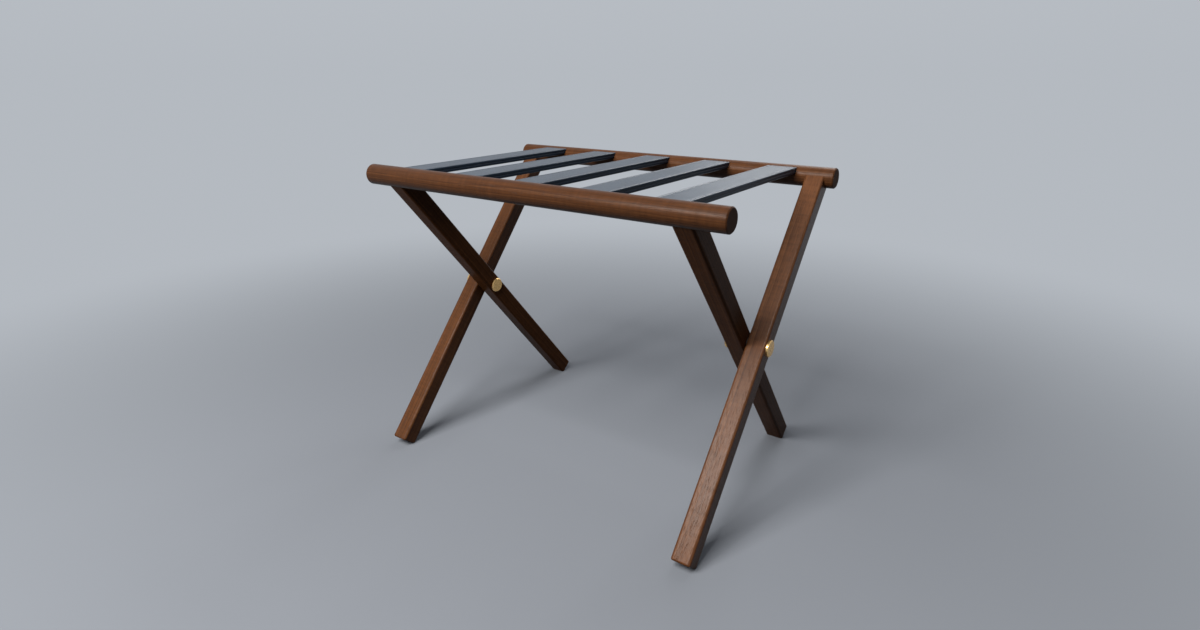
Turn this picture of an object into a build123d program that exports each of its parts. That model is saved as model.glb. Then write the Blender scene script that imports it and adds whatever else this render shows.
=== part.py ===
import os
from math import atan2, cos, hypot, sin, sqrt

from build123d import *

os.makedirs("parts", exist_ok=True)

# Rails: two round bars, front and back, that carry the straps
rail_length = 650.0
rail_diameter = 33.0
rail_spacing = 392.0
rail_height = 495.0
rail_end_bevel = 1.5

# Legs: square bars with rounded edges that cross in two pairs
leg_width = 31.0
leg_depth = 30.5
leg_edge_radius = 4.0
foot_end_radius = 3.0
foot_planed_depth = 2.8
pivot_height = 264.0
rail_overhang = 14.0

# Straps: thick webbing from rail to rail, with a thin tongue at each end
strap_count = 5
strap_pitch = 119.0
strap_width = 50.0
strap_thickness = 10.0
strap_edge_radius = 1.6
strap_below_crown = 2.3
tongue_width = 44.0
tongue_thickness = 3.5
tongue_past_axis = 3.0

# Dowels between the legs and the rails
dowel_diameter = 12.0
dowel_in_leg = 30.0
dowel_cover = 2.0
dowel_end_gap = 1.0

# Pivots: a headed post and a screw with the same head
post_diameter = 10.0
pivot_head_diameter = 26.5
pivot_head_height = 3.8
pivot_head_bevel = 1.2
pivot_screw_diameter = 6.0
pivot_screw_length = 24.0
pivot_bore_extra = 2.0
hex_key_size = 5.0
hex_key_depth = 2.4
washer_diameter = 24.0
washer_thickness = 1.0

# Clearances
glue_gap = 0.1
running_gap = 0.05
face_gap = 0.1
strap_gap = 0.3

# Slant of the legs, from the pivot to the rail axes
rail_radius = rail_diameter / 2
half_span = rail_spacing / 2
rail_rise = rail_height - pivot_height
lean = atan2(half_span, rail_rise)
leg_reach = hypot(half_span, rail_rise)
foot_reach = (pivot_height + foot_planed_depth - leg_depth / 2 * sin(lean)) / cos(lean)

# Leg places along the rails: the back frame's outside, the front frame's inside
outer_leg_x = rail_length / 2 - rail_overhang - leg_width / 2
inner_leg_x = outer_leg_x - leg_width - washer_thickness - 2 * face_gap

# Strap levels, and the place where the strap's top runs out on the rail's round
strap_top = rail_height + rail_radius - strap_below_crown
strap_underside = strap_top - strap_thickness
housing_floor = strap_underside - strap_gap
run_out = sqrt(rail_radius**2 - (rail_radius - strap_below_crown) ** 2)
strap_half_length = half_span - run_out - strap_gap
strap_places = [(i - (strap_count - 1) / 2) * strap_pitch for i in range(strap_count)]

# Dowel reach: its bore in the rail stays a cover's depth below the strap housing
dowel_radius = dowel_diameter / 2
bore_radius = dowel_radius + glue_gap
bore_rise = housing_floor - dowel_cover - pivot_height - bore_radius * sin(lean)
bore_top = bore_rise / cos(lean)
dowel_top = bore_top - dowel_end_gap
dowel_bottom = leg_reach - rail_radius - dowel_in_leg


def rail_end_plane(side):
    """Plane across a rail at its left end, facing along the rail."""
    return Plane(
        origin=(-rail_length / 2, side * half_span, rail_height),
        x_dir=(0, 1, 0),
        z_dir=(1, 0, 0),
    )


def leg_plane(x, side):
    """Plane across a leg at its pivot, facing up the leg to its rail."""
    return Plane(
        origin=(x, 0, pivot_height),
        x_dir=(1, 0, 0),
        z_dir=(0, side * sin(lean), cos(lean)),
    )


def pivot_plane(x, facing):
    """Plane across the pivot's axis at x, facing left (-1) or right (1)."""
    return Plane(origin=(x, 0, pivot_height), x_dir=(0, 1, 0), z_dir=(facing, 0, 0))


def make_rail(side, leg_places):
    with BuildPart() as rail:
        with BuildSketch(rail_end_plane(side)):
            Circle(rail_radius)
        extrude(amount=rail_length)
        chamfer(rail.edges().filter_by(GeomType.CIRCLE), rail_end_bevel)
        # Ledges for the strap ends, cut where the strap's top meets the round
        with BuildSketch(Plane.XY.offset(housing_floor)):
            ledge = rail_radius - run_out
            with Locations(*[(x, side * (half_span - run_out - ledge / 2)) for x in strap_places]):
                Rectangle(strap_width + 2 * strap_gap, ledge)
        extrude(amount=rail_diameter, mode=Mode.SUBTRACT)
        # Slots behind the ledges for the tongues
        with BuildSketch(Plane.XY.offset(housing_floor)):
            depth = rail_radius + tongue_past_axis + strap_gap
            middle = half_span - rail_radius + depth / 2
            with Locations(*[(x, side * middle) for x in strap_places]):
                Rectangle(tongue_width + 2 * strap_gap, depth)
        extrude(amount=tongue_thickness + 2 * strap_gap, mode=Mode.SUBTRACT)
        # Dowel bores along the slant of the legs
        for x in leg_places:
            with BuildSketch(leg_plane(x, side).offset(leg_reach - rail_diameter)):
                Circle(bore_radius)
            extrude(amount=bore_top - leg_reach + rail_diameter, mode=Mode.SUBTRACT)
    return rail.part


def make_leg(x, side):
    across = leg_plane(x, side)
    with BuildPart() as leg:
        with BuildSketch(across.offset(-foot_reach)):
            RectangleRounded(leg_width, leg_depth, leg_edge_radius)
        extrude(amount=foot_reach + leg_reach)
        foot = leg.faces().sort_by(Axis((x, 0, pivot_height), across.z_dir))[0]
        fillet(foot.edges(), foot_end_radius)
        # Saddle that fits round the rail
        with BuildSketch(rail_end_plane(side)):
            Circle(rail_radius + glue_gap)
        extrude(amount=rail_length, mode=Mode.SUBTRACT)
        # Upper lip of the saddle pared level, below the straps
        with BuildSketch(Plane.XY.offset(housing_floor)):
            with Locations((x, side * half_span)):
                Rectangle(2 * leg_width, 2 * (rail_diameter + leg_depth))
        extrude(amount=leg_reach, mode=Mode.SUBTRACT)
        with BuildSketch(across.offset(dowel_bottom - dowel_end_gap)):
            Circle(bore_radius)
        extrude(amount=dowel_in_leg + rail_diameter, mode=Mode.SUBTRACT)
        with BuildSketch(pivot_plane(x - leg_width / 2, 1)):
            Circle(post_diameter / 2 + running_gap)
        extrude(amount=leg_width, mode=Mode.SUBTRACT)
        # Foot planed flat to stand on the floor
        split(bisect_by=Plane.XY, keep=Keep.TOP)
    return leg.part


def make_dowel(x, side):
    with BuildPart() as dowel:
        with BuildSketch(leg_plane(x, side).offset(dowel_bottom)):
            Circle(dowel_radius)
        extrude(amount=dowel_top - dowel_bottom)
    return dowel.part


def make_strap(x):
    section = Plane(
        origin=(x, -strap_half_length, (strap_top + strap_underside) / 2),
        x_dir=(1, 0, 0),
        z_dir=(0, 1, 0),
    )
    with BuildPart() as strap:
        with BuildSketch(section):
            RectangleRounded(strap_width, strap_thickness, strap_edge_radius)
        extrude(amount=2 * strap_half_length)
        # Lower ply runs on past both ends as the tongues
        with BuildSketch(Plane.XY.offset(strap_underside)):
            with Locations((x, 0)):
                Rectangle(tongue_width, 2 * (half_span + tongue_past_axis))
        extrude(amount=tongue_thickness)
    return strap.part


def make_post(low_face, high_face):
    with BuildPart() as post:
        with BuildSketch(pivot_plane(high_face + face_gap, 1)):
            Circle(pivot_head_diameter / 2)
        extrude(amount=pivot_head_height)
        chamfer(post.edges().sort_by(Axis.X)[-1], pivot_head_bevel)
        with BuildSketch(pivot_plane(high_face + face_gap, -1)):
            Circle(post_diameter / 2)
        extrude(amount=high_face - low_face + 2 * face_gap)
        # Tapped bore in the end of the barrel
        with BuildSketch(pivot_plane(low_face - face_gap, 1)):
            Circle(pivot_screw_diameter / 2 + running_gap)
        extrude(amount=pivot_screw_length + pivot_bore_extra, mode=Mode.SUBTRACT)
    return post.part


def make_pivot_screw(low_face):
    head = low_face - face_gap
    with BuildPart() as screw:
        with BuildSketch(pivot_plane(head, -1)):
            Circle(pivot_head_diameter / 2)
        extrude(amount=pivot_head_height)
        chamfer(screw.edges().sort_by(Axis.X)[0], pivot_head_bevel)
        with BuildSketch(pivot_plane(head, 1)):
            Circle(pivot_screw_diameter / 2)
        extrude(amount=pivot_screw_length)
        with BuildSketch(pivot_plane(head - pivot_head_height, 1)):
            RegularPolygon(hex_key_size / 2, 6, major_radius=False)
        extrude(amount=hex_key_depth, mode=Mode.SUBTRACT)
    return screw.part


def make_washer(low_face):
    with BuildPart() as washer:
        with BuildSketch(pivot_plane(low_face + face_gap, 1)):
            Circle(washer_diameter / 2)
            Circle(post_diameter / 2 + running_gap, mode=Mode.SUBTRACT)
        extrude(amount=washer_thickness)
    return washer.part


front, back = -1, 1
pair_low = inner_leg_x - leg_width / 2
pair_high = outer_leg_x + leg_width / 2
strap_names = ["left_outer", "left_inner", "centre", "right_inner", "right_outer"]

pieces = {
    "front_rail": make_rail(front, (-inner_leg_x, inner_leg_x)),
    "back_rail": make_rail(back, (-outer_leg_x, outer_leg_x)),
    "front_left_leg": make_leg(-inner_leg_x, front),
    "front_right_leg": make_leg(inner_leg_x, front),
    "back_left_leg": make_leg(-outer_leg_x, back),
    "back_right_leg": make_leg(outer_leg_x, back),
    "front_left_dowel": make_dowel(-inner_leg_x, front),
    "front_right_dowel": make_dowel(inner_leg_x, front),
    "back_left_dowel": make_dowel(-outer_leg_x, back),
    "back_right_dowel": make_dowel(outer_leg_x, back),
    "left_pivot_post": make_post(-pair_high, -pair_low),
    "right_pivot_post": make_post(pair_low, pair_high),
    "left_pivot_screw": make_pivot_screw(-pair_high),
    "right_pivot_screw": make_pivot_screw(pair_low),
    "left_pivot_washer": make_washer(leg_width - pair_high),
    "right_pivot_washer": make_washer(pair_low + leg_width),
}
for name, x in zip(strap_names, strap_places):
    pieces[name + "_strap"] = make_strap(x)

for name, piece in pieces.items():
    piece.label = name
    export_step(piece, f"parts/{name}.step")
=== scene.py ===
import math

import bpy
import numpy as np
from mathutils import Euler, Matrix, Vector


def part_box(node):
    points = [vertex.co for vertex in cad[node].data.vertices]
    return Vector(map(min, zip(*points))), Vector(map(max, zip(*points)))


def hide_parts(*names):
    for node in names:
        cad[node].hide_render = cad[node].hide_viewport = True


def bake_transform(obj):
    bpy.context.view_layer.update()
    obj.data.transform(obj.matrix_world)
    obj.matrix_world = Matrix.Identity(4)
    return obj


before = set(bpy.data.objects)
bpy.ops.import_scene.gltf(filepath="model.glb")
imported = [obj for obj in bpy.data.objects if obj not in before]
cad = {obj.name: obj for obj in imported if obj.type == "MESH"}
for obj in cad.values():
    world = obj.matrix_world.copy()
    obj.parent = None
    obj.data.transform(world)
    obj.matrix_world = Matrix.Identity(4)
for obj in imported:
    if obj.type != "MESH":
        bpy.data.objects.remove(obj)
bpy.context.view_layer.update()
scene = bpy.context.scene
scene.view_settings.view_transform = "Standard"
print("frame loaded:", len(cad), "nodes")

# the rack's own measures, in metres
pivotHeight = 0.264
railHeight = 0.495
halfSpan = 0.196  # from the middle to a rail's axis
leanAngle = math.atan2(halfSpan, railHeight - pivotHeight)


def tubeFaces(rings, count):
    # quads between neighbouring rings of points that are stored one after another, each ring closed on itself
    ring, point = np.meshgrid(np.arange(rings - 1), np.arange(count), indexing="ij")
    beside, start, ahead = (point + 1) % count, ring * count, (ring + 1) * count
    return np.stack([start + point, start + beside, ahead + beside, ahead + point], -1).reshape(-1, 4)


def meshFrom(name, points, faces, smoothAngle=None):
    mesh = bpy.data.meshes.new(name)
    mesh.from_pydata(points.tolist(), [], faces)
    mesh.validate()
    mesh.update()
    mesh.shade_smooth()
    if smoothAngle:
        mesh.set_sharp_from_angle(angle=math.radians(smoothAngle))
    piece = bpy.data.objects.new(name, mesh)
    scene.collection.objects.link(piece)
    return piece


def startMaterial(name):
    material = bpy.data.materials.new(name)
    material.use_nodes = True
    return material, material.node_tree, material.node_tree.nodes["Principled BSDF"]


def put(tree, kind, inputs=None, **settings):
    # one node, with its settings and with a value or a link on each named input
    node = tree.nodes.new(kind)
    for key, value in settings.items():
        setattr(node, key, value)
    for key, value in (inputs or {}).items():
        if isinstance(value, bpy.types.NodeSocket):
            tree.links.new(value, node.inputs[key])
        else:
            node.inputs[key].default_value = value
    return node


def calc(tree, operation, a, b=0.0):
    return put(tree, "ShaderNodeMath", {0: a, 1: b}, operation=operation).outputs[0]


def remap(tree, value, fromLow, fromHigh, toLow, toHigh, **settings):
    inputs = {"Value": value, "From Min": fromLow, "From Max": fromHigh, "To Min": toLow, "To Max": toHigh}
    return put(tree, "ShaderNodeMapRange", inputs, **settings).outputs["Result"]


def ramp(tree, value, stops):
    node = put(tree, "ShaderNodeValToRGB", {"Fac": value})
    line = node.color_ramp.elements
    while len(line) < len(stops):
        line.new(0.5)
    for element, (position, colour) in zip(line, stops):
        element.position = position
        element.color = (*colour, 1.0)
    return node.outputs["Color"]


def mixColour(tree, factor, a, b, blendType="MIX"):
    node = put(tree, "ShaderNodeMix", data_type="RGBA", blend_type=blendType)
    for index, value in ((0, factor), (6, a), (7, b)):  # the factor and the two colours among the node's many inputs
        if isinstance(value, bpy.types.NodeSocket):
            tree.links.new(value, node.inputs[index])
        else:
            node.inputs[index].default_value = value if index == 0 else (*value, 1.0)
    return node.outputs[2]


def shaded(tree, colour, value):
    # a colour times one plain number
    grey = put(tree, "ShaderNodeCombineColor", {0: value, 1: value, 2: value}).outputs[0]
    return mixColour(tree, 1.0, colour, grey, "MULTIPLY")


def length(tree, vector):
    return put(tree, "ShaderNodeVectorMath", {0: vector}, operation="LENGTH").outputs["Value"]


def stretched(tree, vector, scale):
    return put(tree, "ShaderNodeVectorMath", {0: vector, 1: scale}, operation="MULTIPLY").outputs[0]


noiseSpan = (0.3, 0.7)  # where most of a noise lies


def noise(tree, vector, detail=2.0, roughness=0.5):
    inputs = {"Vector": vector, "Scale": 1.0, "Detail": detail, "Roughness": roughness}
    return put(tree, "ShaderNodeTexNoise", inputs).outputs["Fac"]


def emboss(tree, shader, height, strength, depth):
    bump = put(tree, "ShaderNodeBump", {"Height": height, "Strength": strength, "Distance": depth})
    tree.links.new(bump.outputs["Normal"], shader.inputs["Normal"])


# the stage: a round floor that fades into the air behind it, soft lamps and the camera
floor = {
    "rings": (0.05, 0.5, 1.0, 1.5, 2.2, 3.2, 4.5, 7.0, 14.0),
    "sides": 96,
    "colour": (0.24, 0.26, 0.295),
    "bounce": 0.18,  # how much of its colour it throws back as light
    "fade": (0.35, 2.0),  # where it starts and ends melting into the air
    "roughness": 0.9,
}
air = {
    "horizon": (0.46, 0.49, 0.53),
    "high": (0.52, 0.55, 0.59),
    "rise": 0.4,
    "ambient": (0.075, 0.080, 0.088),
}


def seenRay(tree):
    # one for rays from the eye, from polish and through glass, nought for the light itself
    path = put(tree, "ShaderNodeLightPath")
    seen = calc(tree, "ADD", path.outputs["Is Camera Ray"], path.outputs["Is Glossy Ray"])
    return calc(tree, "MINIMUM", calc(tree, "ADD", seen, path.outputs["Is Transmission Ray"]), 1.0)


def buildFloor():
    # rings of growing radius, turned about the upright axis, closed by one small disc in the middle
    radius = np.array(floor["rings"])
    turn = np.linspace(0, 2 * math.pi, floor["sides"], endpoint=False)
    points = np.zeros((len(radius), len(turn), 3))
    points[..., 0] = np.outer(radius, np.cos(turn))
    points[..., 1] = np.outer(radius, np.sin(turn))
    faces = tubeFaces(len(radius), len(turn))[:, ::-1].tolist()
    faces.append(list(range(len(turn))))
    piece = meshFrom("studioFloor", points.reshape(-1, 3), faces)
    material, tree, shader = startMaterial("studioPaper")
    away = length(tree, put(tree, "ShaderNodeTexCoord").outputs["Object"])
    far = remap(tree, away, *floor["fade"], 0.0, 1.0, interpolation_type="SMOOTHSTEP")
    seen = seenRay(tree)
    near = calc(tree, "MULTIPLY", remap(tree, far, 0.0, 1.0, 1.0, 0.0),
                remap(tree, seen, 0.0, 1.0, floor["bounce"], 1.0))
    tree.links.new(shaded(tree, floor["colour"], near), shader.inputs["Base Color"])
    shader.inputs["Emission Color"].default_value = (*air["horizon"], 1.0)
    tree.links.new(calc(tree, "MULTIPLY", far, seen), shader.inputs["Emission Strength"])
    shader.inputs["Roughness"].default_value = floor["roughness"]
    shader.inputs["Specular IOR Level"].default_value = 0.0
    piece.data.materials.append(material)


def buildAir():
    # pale to the eye, with a slow rise from the horizon up; a low even light for everything else
    world = bpy.data.worlds.new("studioAir")
    world.use_nodes = True
    tree = world.node_tree
    way = put(tree, "ShaderNodeTexCoord").outputs["Generated"]
    upward = put(tree, "ShaderNodeSeparateXYZ", {0: way}).outputs["Z"]
    pale = mixColour(tree, remap(tree, upward, 0.0, air["rise"], 0.0, 1.0), air["horizon"], air["high"])
    shown = mixColour(tree, seenRay(tree), air["ambient"], pale)
    tree.links.new(shown, tree.nodes["Background"].inputs["Color"])
    scene.world = world


lamps = {
    "keyLamp": {
        "place": (0.10, -1.55, 2.25), "aim": (0.0, -0.05, 0.3),
        "size": 1.0, "power": 50.0, "colour": (1.0, 0.97, 0.93),
    },
    "sideLamp": {
        "place": (-0.62, -1.95, 1.85), "aim": (0.1, -0.1, 0.25),
        "size": 0.7, "power": 42.0, "colour": (1.0, 0.97, 0.93),
    },
    "backPanel": {
        "place": (-0.55, 3.1, 1.0), "aim": (0.0, 0.0, 0.5),
        "size": 1.5, "power": 4.5, "colour": (0.95, 0.975, 1.0),
    },
    "rearLamp": {
        "place": (0.0, 2.0, 2.2), "aim": (0.0, 0.0, 0.3),
        "size": 1.2, "power": 24.0, "colour": (1.0, 0.98, 0.96),
    },
}


def buildLamps():
    for name, lamp in lamps.items():
        light = bpy.data.lights.new(name, "AREA")
        light.shape = "SQUARE"
        light.size = lamp["size"]
        light.energy = lamp["power"]
        light.color = lamp["colour"]
        holder = bpy.data.objects.new(name, light)
        holder.location = lamp["place"]
        aim = Vector(lamp["aim"]) - Vector(lamp["place"])
        holder.rotation_euler = aim.to_track_quat("-Z", "Y").to_euler()
        scene.collection.objects.link(holder)


camera = {"place": (0.6429, -0.9155, 0.6598), "pitch": 70.0, "yaw": 35.07, "lens": 20.265, "sensor": 36.0}


def buildCamera():
    lens = bpy.data.cameras.new("photoCamera")
    lens.sensor_fit = "HORIZONTAL"
    lens.sensor_width = camera["sensor"]
    lens.lens = camera["lens"]
    holder = bpy.data.objects.new("photoCamera", lens)
    holder.location = camera["place"]
    holder.rotation_euler = (math.radians(camera["pitch"]), 0.0, math.radians(camera["yaw"]))
    scene.collection.objects.link(holder)
    scene.camera = holder


buildFloor()
buildAir()
buildLamps()
buildCamera()
print("stage, lamps and camera set")


# walnut: a solid figure of growth rings, fibres and pores that runs along each bar
walnut = {
    "light": (0.136, 0.054, 0.0200),
    "middle": (0.108, 0.041, 0.0150),
    "dark": (0.078, 0.0285, 0.0106),
    "pore": (0.016, 0.0060, 0.0028),
    "ringStep": 0.0068,
    "ringBands": ((0.00, "light"), (0.30, "middle"), (0.72, "middle"), (0.93, "dark"), (1.00, "light")),
    "waver": {"scale": (16.0, 16.0, 2.6), "depth": 0.016},  # slow wander of the rings
    "ripple": {"scale": (60.0, 60.0, 9.0), "depth": 0.0010},  # small wander of the rings
    "cloud": {"scale": (26.0, 26.0, 3.2), "span": (0.40, 0.75), "share": 0.55},  # patches where the rings are faint
    "fibre": {"scale": (520.0, 520.0, 9.0), "shade": (0.70, 1.26), "height": 0.5},
    "figure": {"scale": (20.0, 20.0, 190.0), "shade": (0.89, 1.11)},  # faint bands across the grain
    "dash": {
        "scale": (2300.0, 2300.0, 95.0), "span": (0.58, 0.72),  # pores
        "share": 0.75, "roughness": 0.4, "depth": 0.7,
    },
    "endGrain": {"facing": (0.70, 0.95), "share": 0.55, "roughness": 0.35},
    "roughSpan": (0.3, 0.9),
    "roughness": (0.29, 0.40),
    "bump": (0.55, 0.00022),
}

# for each bar, where the tree's heart lies from its axis, with a place along the trunk,
# how much its wood is painted lighter or darker for the light and shade that fall on that bar, and how much it
# shines
bars = {
    "front_rail": {"heart": (0.045, 0.030, 0.31), "tone": 0.70, "gloss": 0.11},
    "back_rail": {"heart": (-0.052, 0.026, 2.17), "tone": 0.90, "gloss": 0.11},
    "front_left_leg": {"heart": (0.040, 0.036, 4.4), "tone": 0.90, "gloss": 0.03},
    "front_right_leg": {"heart": (-0.034, 0.046, 6.3), "tone": 0.90, "gloss": 0.03},
    "back_left_leg": {"heart": (0.050, -0.022, 8.9), "tone": 1.0, "gloss": 0.11},
    "back_right_leg": {"heart": (-0.026, -0.052, 11.2), "tone": 1.12, "gloss": 0.16},
}


def barPlace(name):
    # the turn that lays the bar's length on the pattern's Z axis, and a point on the bar's own axis
    side = -1 if name.startswith("front") else 1
    if name.endswith("rail"):
        return Euler((0, -math.pi / 2, 0)), Vector((0.0, side * halfSpan, railHeight))
    low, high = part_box(name)
    return Euler((side * leanAngle, 0, 0)), Vector(((low[0] + high[0]) / 2, 0.0, pivotHeight))


def walnutMaterial(name):
    # rings: distance from the heart, wavering, cut into even steps;
    # fibres and pores: noise drawn out along the bar; figure: noise squeezed along it
    material, tree, shader = startMaterial("walnut_" + name)
    # tone: painted light and shade, one lightness factor for the whole bar
    tone = bars[name]["tone"]
    turn, point = barPlace(name)
    offset = Vector(bars[name]["heart"]) - turn.to_matrix() @ point
    source = put(tree, "ShaderNodeTexCoord").outputs
    inputs = {"Vector": source["Object"], "Location": offset, "Rotation": turn}
    bar = put(tree, "ShaderNodeMapping", inputs).outputs[0]
    inputs = {"Vector": source["Normal"], "Rotation": turn}
    facing = put(tree, "ShaderNodeMapping", inputs, vector_type="NORMAL").outputs[0]
    along = put(tree, "ShaderNodeSeparateXYZ", {0: facing}).outputs["Z"]
    endGrain = remap(tree, calc(tree, "ABSOLUTE", along), *walnut["endGrain"]["facing"], 0.0, 1.0)

    distance = length(tree, stretched(tree, bar, (1.0, 1.0, 0.0)))
    for wander in (walnut["waver"], walnut["ripple"]):
        swing = calc(tree, "SUBTRACT", noise(tree, stretched(tree, bar, wander["scale"])), 0.5)
        distance = calc(tree, "ADD", distance, calc(tree, "MULTIPLY", swing, wander["depth"]))
    ring = calc(tree, "FRACT", calc(tree, "DIVIDE", distance, walnut["ringStep"]))
    colour = ramp(tree, ring, [(position, walnut[band]) for position, band in walnut["ringBands"]])
    cloud = noise(tree, stretched(tree, bar, walnut["cloud"]["scale"]), 3.0)
    faint = remap(tree, cloud, *walnut["cloud"]["span"], 0.0, walnut["cloud"]["share"])
    colour = mixColour(tree, faint, colour, walnut["middle"])

    fibre = noise(tree, stretched(tree, bar, walnut["fibre"]["scale"]), 4.0, 0.62)
    figure = noise(tree, stretched(tree, bar, walnut["figure"]["scale"]))
    # the fibre shading carries the bar's tone, which paints light and shade onto the bar
    shade = remap(tree, fibre, *noiseSpan, *(tone * end for end in walnut["fibre"]["shade"]))
    shade = calc(tree, "MULTIPLY", shade, remap(tree, figure, *noiseSpan, *walnut["figure"]["shade"]))
    colour = shaded(tree, colour, shade)
    dash = noise(tree, stretched(tree, bar, walnut["dash"]["scale"]))
    pore = remap(tree, dash, *walnut["dash"]["span"], 0.0, 1.0)
    for spot, share in ((pore, walnut["dash"]["share"]), (endGrain, walnut["endGrain"]["share"])):
        colour = mixColour(tree, calc(tree, "MULTIPLY", spot, share), colour, walnut["pore"])
    tree.links.new(colour, shader.inputs["Base Color"])

    openness = calc(tree, "ADD", fibre, calc(tree, "MULTIPLY", pore, walnut["dash"]["roughness"]))
    rough = remap(tree, openness, *walnut["roughSpan"], *walnut["roughness"])
    rough = calc(tree, "ADD", rough, calc(tree, "MULTIPLY", endGrain, walnut["endGrain"]["roughness"]))
    tree.links.new(rough, shader.inputs["Roughness"])
    raised = calc(tree, "MULTIPLY", fibre, walnut["fibre"]["height"])
    height = calc(tree, "SUBTRACT", raised, calc(tree, "MULTIPLY", pore, walnut["dash"]["depth"]))
    emboss(tree, shader, height, *walnut["bump"])
    shader.inputs["Specular IOR Level"].default_value = bars[name]["gloss"]
    return material


def dress(name, material):
    piece = cad[name]
    piece.data.materials.clear()
    piece.data.materials.append(material)


for barName in bars:
    dress(barName, walnutMaterial(barName))
print("walnut laid on rails and legs")


brass = {
    "base": (0.98, 0.63, 0.26),
    "deep": (0.92, 0.56, 0.21),
    "patch": (90.0, 90.0, 90.0),
    "patchSpan": (0.35, 0.75),
    "patchShare": 0.7,
    "brush": (200.0, 1500.0, 200.0),
    "roughness": (0.20, 0.32),
    "bump": (0.25, 0.00005),
}


def brassMaterial():
    # fine brush marks for the gloss, and slow patches of a deeper colour
    material, tree, shader = startMaterial("satinBrass")
    source = put(tree, "ShaderNodeTexCoord").outputs["Object"]
    brushed = noise(tree, stretched(tree, source, brass["brush"]), 3.0, 0.6)
    patch = noise(tree, stretched(tree, source, brass["patch"]))
    deeper = remap(tree, patch, *brass["patchSpan"], 0.0, brass["patchShare"])
    tree.links.new(mixColour(tree, deeper, brass["base"], brass["deep"]), shader.inputs["Base Color"])
    tree.links.new(remap(tree, brushed, *noiseSpan, *brass["roughness"]), shader.inputs["Roughness"])
    emboss(tree, shader, brushed, *brass["bump"])
    shader.inputs["Metallic"].default_value = 1.0
    return material


# washers between the legs, and the dowels in the leg tops
nylon = {
    "low": (0.012, 0.012, 0.013), "high": (0.02, 0.02, 0.022),
    "speck": (400.0, 400.0, 400.0), "roughness": (0.45, 0.6),
}
beech = {
    "low": (0.42, 0.28, 0.16), "high": (0.55, 0.39, 0.24),
    "speck": (500.0, 500.0, 500.0), "roughness": (0.55, 0.7),
}


def speckledMaterial(name, look):
    material, tree, shader = startMaterial(name)
    source = put(tree, "ShaderNodeTexCoord").outputs["Object"]
    speck = noise(tree, stretched(tree, source, look["speck"]), 3.0)
    stops = zip(noiseSpan, (look["low"], look["high"]))
    tree.links.new(ramp(tree, speck, list(stops)), shader.inputs["Base Color"])
    tree.links.new(remap(tree, speck, *noiseSpan, *look["roughness"]), shader.inputs["Roughness"])
    return material


brassLook = brassMaterial()
nylonLook = speckledMaterial("blackNylon", nylon)
beechLook = speckledMaterial("plainBeech", beech)
for side in ("left", "right"):
    dress(side + "_pivot_post", brassLook)
    dress(side + "_pivot_screw", brassLook)
    dress(side + "_pivot_washer", nylonLook)
    dress("front_" + side + "_dowel", beechLook)
    dress("back_" + side + "_dowel", beechLook)
print("brass, nylon and beech done")


# straps: ribbed webbing sewn flat over a core, with thread rows along both edges
strap = {
    "halfWidth": 0.025,
    "halfThick": 0.005,
    "corner": 0.0017,
    "ribStep": 0.0025,
    "ribDepth": 0.00010,
    "ribFade": 0.0015,  # how fast the ribs die out at the edge
    "seamInset": 0.0046,
    "seamDepth": 0.00055,
    "seamWidth": 0.0011,
    "grooveDepth": 0.0006,  # the line along each side
    "grooveWidth": 0.0006,
    "tongue": (0.0217, 0.0017, 0.0006),  # half-width, half-thickness and corner of the thin end
    "tongueDrop": 0.0032,
    "tongueBulge": 0.0003,
    "endInset": 0.0087,
    "ease": 0.0010,
    "easedWidth": 0.985,
    "easedTop": 0.90,
    "stations": 90,
    "topPoints": 75,
    "cornerPoints": 4,
    "sidePoints": 7,
    "smoothAngle": 50,
    "shadedSideFrom": 0.7,  # a face this upright gets the darker copy of the webbing, painted shade on the strap's sides
}
threadRow = {
    "step": 0.0046,
    "length": 0.0034,
    "radius": 0.00036,
    "tip": 0.55,  # thickness at a stitch's ends, against its middle
    "rise": 0.00034,
    "sink": 0.00022,
    "margin": 0.010,
    "rings": 5,
    "sides": 6,
    "low": (0.022, 0.031, 0.046),
    "high": (0.056, 0.074, 0.100),
    "twist": 380.0,
    "distortion": 0.5,
    "twistSpan": (0.2, 0.8),
    "bump": (0.5, 0.0001),
    "roughness": 0.5,
    "sheen": 0.35,
}


def topRelief(across):
    # depth below the crown: ribs as a raised cosine across the width, fading out at the edge,
    # and a bell curve at each sewn row
    fade = np.clip((strap["halfWidth"] - strap["corner"] - across) / strap["ribFade"], 0, 1)
    ribs = strap["ribDepth"] * fade * (0.5 - 0.5 * np.cos(2 * math.pi * across / strap["ribStep"]))
    row = (across - strap["halfWidth"] + strap["seamInset"]) / strap["seamWidth"]
    return ribs + strap["seamDepth"] * np.exp(-(row**2))


def sectionLoop(halfWidth, halfThick, corner, relief, groove):
    # a quarter from the top's middle over the round corner to the side's middle, mirrored down, then across;
    # the top starts half a step from the middle, and the side is drawn in by a bell curve
    count = strap["topPoints"]
    flat = np.linspace(1 / (2 * count - 1), 1, count) * (halfWidth - corner)
    bend = np.linspace(0, math.pi / 2, strap["cornerPoints"] + 2)[1:-1]
    level = np.linspace(halfThick - corner, 0, strap["sidePoints"])
    top = np.stack([flat, halfThick - relief(flat)], -1)
    edge = np.stack([halfWidth - corner + corner * np.sin(bend), halfThick - corner + corner * np.cos(bend)], -1)
    side = np.stack([halfWidth - groove * np.exp(-((level / strap["grooveWidth"]) ** 2)), level], -1)
    quarter = np.concatenate([top, edge, side])
    half = np.concatenate([quarter[:-1], (quarter * [1, -1])[::-1]])
    return np.concatenate([half, (half * [-1, 1])[::-1]])


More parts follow.
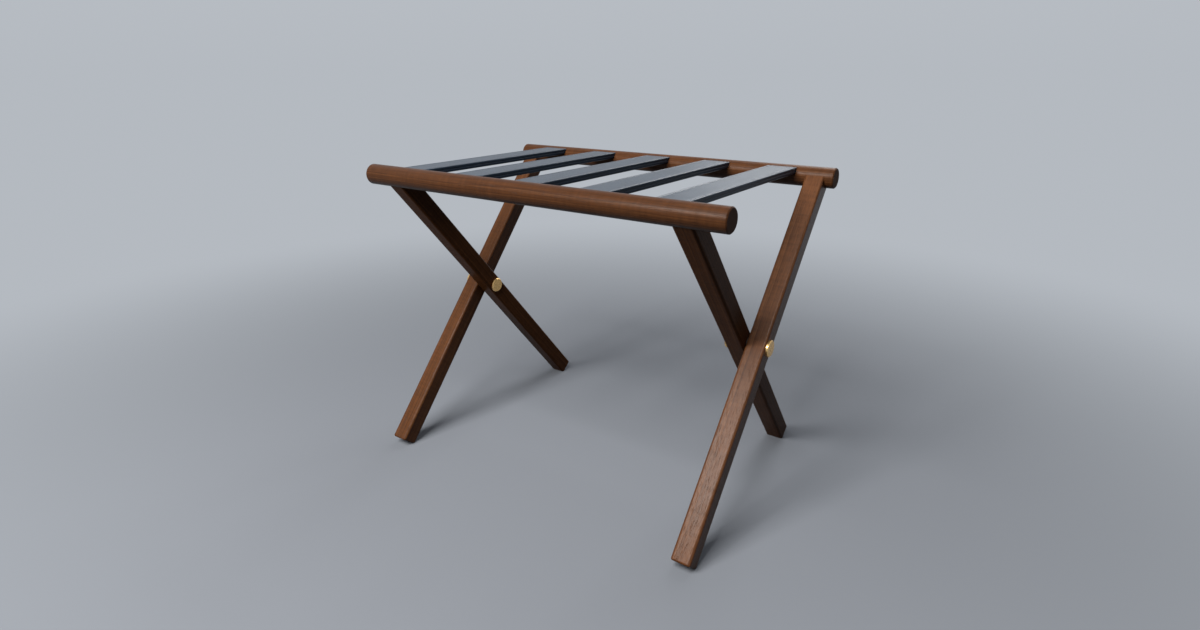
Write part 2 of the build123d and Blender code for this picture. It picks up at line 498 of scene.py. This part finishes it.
def capFaces(count):
    # each point of the loop joined to its mirror image below,
    # which closes an end with narrow quads and a triangle at each side
    quarter = (count + 2) // 4
    i = np.arange(-quarter, quarter)
    below = 2 * quarter - 2 - i
    strip = np.stack([i[:-1], i[1:], below[1:], below[:-1]], -1) % count
    return [strip[0, :3].tolist()] + strip[1:-1].tolist() + [strip[-1, [0, 1, 3]].tolist()]


def buildStrap(name, clothLook, sideShadeLook, threadLook):
    # the section carried along the strap: tongue tip and root, the body's eased end, the body,
    # and the same again to the far tip
    low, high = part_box(name)
    middle, level, tip = (low[0] + high[0]) / 2, (low[2] + high[2]) / 2, high[1]
    bodyEnd = halfSpan - strap["endInset"]
    outline = (strap["halfWidth"], strap["halfThick"], strap["corner"])
    loop = sectionLoop(*outline, topRelief, strap["grooveDepth"])
    upper, lower = [strap["easedWidth"], strap["easedTop"]], [strap["easedWidth"], 1.0]
    eased = loop * np.where(loop[:, 1:] > 0, upper, lower)
    tongue = sectionLoop(*strap["tongue"], np.zeros_like, -strap["tongueBulge"]) - [0, strap["tongueDrop"]]
    body = np.linspace(strap["ease"] - bodyEnd, bodyEnd - strap["ease"], strap["stations"])
    along = np.concatenate([[-tip, -bodyEnd, -bodyEnd], body, [bodyEnd, bodyEnd, tip]])
    section = np.stack([tongue, tongue, eased] + [loop] * len(body) + [eased, tongue, tongue])
    rows, count = section.shape[:2]
    points = np.empty((rows, count, 3))
    points[..., 0] = middle + section[..., 0]
    points[..., 1] = along[:, None]
    points[..., 2] = level + section[..., 1]
    cap = capFaces(count)
    faces = tubeFaces(rows, count).tolist()
    faces += [face[::-1] for face in cap] + [[k + (rows - 1) * count for k in face] for face in cap]
    piece = meshFrom(name + "_webbing", points.reshape(-1, 3), faces, strap["smoothAngle"])
    layCloth(piece, loop, along, points)
    paintShadedSides(piece, clothLook, sideShadeLook)
    thread = buildThread(name, middle, level, bodyEnd, threadLook)
    for soft in (piece, thread):
        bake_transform(soft)
        place = np.empty(len(soft.data.vertices) * 3)
        soft.data.vertices.foreach_get("co", place)
    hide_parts(name)


def layCloth(piece, loop, along, points):
    # a flat map in metres: distance round the loop and along the strap, and plain width by height on the end caps
    step = np.linalg.norm(np.roll(loop, -1, 0) - loop, axis=1)
    across = np.concatenate([[0], np.cumsum(step)])
    left, right = across[:-1], across[1:]
    near, far = along[:-1, None], along[1:, None]
    corners = [(left, near), (right, near), (right, far), (left, far)]
    grid = np.stack([np.stack(np.broadcast_arrays(*pair), -1) for pair in corners], 2).reshape(-1, 2)
    index = np.empty(len(piece.data.loops), int)
    piece.data.loops.foreach_get("vertex_index", index)
    ends = points.reshape(-1, 3)[index[len(grid):]][:, [0, 2]]
    layer = piece.data.uv_layers.new(name="cloth")
    layer.data.foreach_set("uv", np.concatenate([grid, ends]).astype(np.float32).reshape(-1))


def paintShadedSides(piece, clothLook, sideShadeLook):
    # faces that look sideways take a darker copy of the webbing: painted shade on the strap's sides
    piece.data.materials.append(clothLook)
    piece.data.materials.append(sideShadeLook)
    normal = np.empty(len(piece.data.polygons) * 3)
    piece.data.polygons.foreach_get("normal", normal)
    upright = np.abs(normal.reshape(-1, 3)[:, 0]) > strap["shadedSideFrom"]
    piece.data.polygons.foreach_set("material_index", upright.astype(np.int32))


def buildThread(name, middle, level, bodyEnd, material):
    # each stitch: a small tube whose path rises out of the channel and dips back in, as half a sine
    count = int((2 * (bodyEnd - threadRow["margin"])) / threadRow["step"])
    centre = (np.arange(count) - (count - 1) / 2) * threadRow["step"]
    t = np.linspace(0, 1, threadRow["rings"])
    turn = np.linspace(0, 2 * math.pi, threadRow["sides"], endpoint=False)
    arch = np.sin(math.pi * t)
    thick = threadRow["radius"] * (threadRow["tip"] + (1 - threadRow["tip"]) * arch)
    rise = threadRow["rise"] * arch - threadRow["sink"]
    rowX = strap["halfWidth"] - strap["seamInset"]
    base = strap["halfThick"] - strap["seamDepth"]
    hexagon = np.array([[0, 5, 4, 3], [0, 3, 2, 1]])  # two quads close a six-sided end
    farEnd = (hexagon + (len(t) - 1) * len(turn))[:, ::-1]
    oneStitch = np.concatenate([tubeFaces(len(t), len(turn)), hexagon, farEnd])
    firstPoint = np.arange(count) * len(t) * len(turn)
    allPoints, allFaces = [], []
    for x, face in [(side * rowX, face) for side in (-1, 1) for face in (1, -1)]:
        p = np.empty((count, len(t), len(turn), 3))
        p[..., 0] = middle + x + (thick[:, None] * np.cos(turn))[None]
        p[..., 1] = centre[:, None, None] + ((t - 0.5) * threadRow["length"])[None, :, None]
        p[..., 2] = level + face * (base + rise[None, :, None] + (thick[:, None] * np.sin(turn))[None])
        quads = (oneStitch[None] + firstPoint[:, None, None]).reshape(-1, 4)
        quads = quads if face < 0 else quads[:, ::-1]
        allFaces.append(quads + sum(len(q) for q in allPoints))
        allPoints.append(p.reshape(-1, 3))
    piece = meshFrom(name + "_thread", np.concatenate(allPoints), np.concatenate(allFaces).tolist())
    piece.data.materials.append(material)
    return piece


webbing = {
    "face": {"low": (0.018, 0.026, 0.040), "high": (0.046, 0.064, 0.092), "specular": 0.5, "sheen": 0.25},
    # a darker, duller copy for the faces that look sideways: painted shade on the strap's sides
    "paintedShadeSide": {"low": (0.010, 0.019, 0.034), "high": (0.023, 0.041, 0.070), "specular": 0.12, "sheen": 0.05},
    "weftStep": 0.0016,
    "warpStep": 0.00125,  # half a rib
    "weftSoft": 0.6,
    "warpSoft": 0.5,
    "weaveShare": 0.62,
    "fuzz": {"scale": (2600.0, 900.0, 1.0), "share": 0.38},
    "patch": {"scale": (60.0, 14.0, 1.0), "shade": (0.86, 1.14)},
    "toneSpan": (0.15, 0.85),
    "roughSpan": (0.1, 0.9),
    "roughness": (0.42, 0.28),
    "bump": (0.3, 0.00012),
    "sheenRoughness": 0.30,
    "sheenTint": (0.80, 0.88, 1.0),
}


def webbingMaterial(name, look):
    # weft floats cross each half rib in turn: a sine along the strap, set over by half a step from one to the next
    material, tree, shader = startMaterial(name)
    uv = put(tree, "ShaderNodeUVMap", uv_map="cloth").outputs["UV"]
    parts = put(tree, "ShaderNodeSeparateXYZ", {0: uv}).outputs
    across = calc(tree, "DIVIDE", parts["X"], webbing["warpStep"])
    shift = calc(tree, "MULTIPLY", calc(tree, "FLOOR", across), 0.5)
    along = calc(tree, "ADD", calc(tree, "DIVIDE", parts["Y"], webbing["weftStep"]), shift)
    floats = []
    for way, soft in ((along, webbing["weftSoft"]), (across, webbing["warpSoft"])):
        swing = calc(tree, "SINE", calc(tree, "MULTIPLY", way, math.pi))
        floats.append(calc(tree, "POWER", calc(tree, "ABSOLUTE", swing), soft))
    weave = calc(tree, "MULTIPLY", *floats)
    fuzz = noise(tree, stretched(tree, uv, webbing["fuzz"]["scale"]), 3.0, 0.65)
    patch = noise(tree, stretched(tree, uv, webbing["patch"]["scale"]))
    tone = calc(tree, "ADD", calc(tree, "MULTIPLY", weave, webbing["weaveShare"]),
                calc(tree, "MULTIPLY", fuzz, webbing["fuzz"]["share"]))
    colour = mixColour(tree, remap(tree, tone, *webbing["toneSpan"], 0.0, 1.0), look["low"], look["high"])
    colour = shaded(tree, colour, remap(tree, patch, *noiseSpan, *webbing["patch"]["shade"]))
    tree.links.new(colour, shader.inputs["Base Color"])
    tree.links.new(remap(tree, tone, *webbing["roughSpan"], *webbing["roughness"]), shader.inputs["Roughness"])
    emboss(tree, shader, tone, *webbing["bump"])
    shader.inputs["Specular IOR Level"].default_value = look["specular"]
    shader.inputs["Sheen Weight"].default_value = look["sheen"]
    shader.inputs["Sheen Roughness"].default_value = webbing["sheenRoughness"]
    shader.inputs["Sheen Tint"].default_value = (*webbing["sheenTint"], 1.0)
    return material


def threadMaterial():
    # slanted bands for the twist
    material, tree, shader = startMaterial("navyThread")
    source = put(tree, "ShaderNodeTexCoord").outputs["Object"]
    inputs = {"Vector": source, "Scale": threadRow["twist"], "Distortion": threadRow["distortion"]}
    twist = put(tree, "ShaderNodeTexWave", inputs, bands_direction="DIAGONAL").outputs["Fac"]
    stops = zip(threadRow["twistSpan"], (threadRow["low"], threadRow["high"]))
    tree.links.new(ramp(tree, twist, list(stops)), shader.inputs["Base Color"])
    emboss(tree, shader, twist, *threadRow["bump"])
    shader.inputs["Roughness"].default_value = threadRow["roughness"]
    shader.inputs["Sheen Weight"].default_value = threadRow["sheen"]
    return material


faceLook = webbingMaterial("navyWebbing", webbing["face"])
# the second copy paints shade on the straps' sideways faces
shadedSideLook = webbingMaterial("navyPaintedShadeSide", webbing["paintedShadeSide"])
threadLook = threadMaterial()
for strapName in ("left_outer_strap", "left_inner_strap", "centre_strap", "right_inner_strap", "right_outer_strap"):
    buildStrap(strapName, faceLook, shadedSideLook, threadLook)
print("straps laid and sewn")
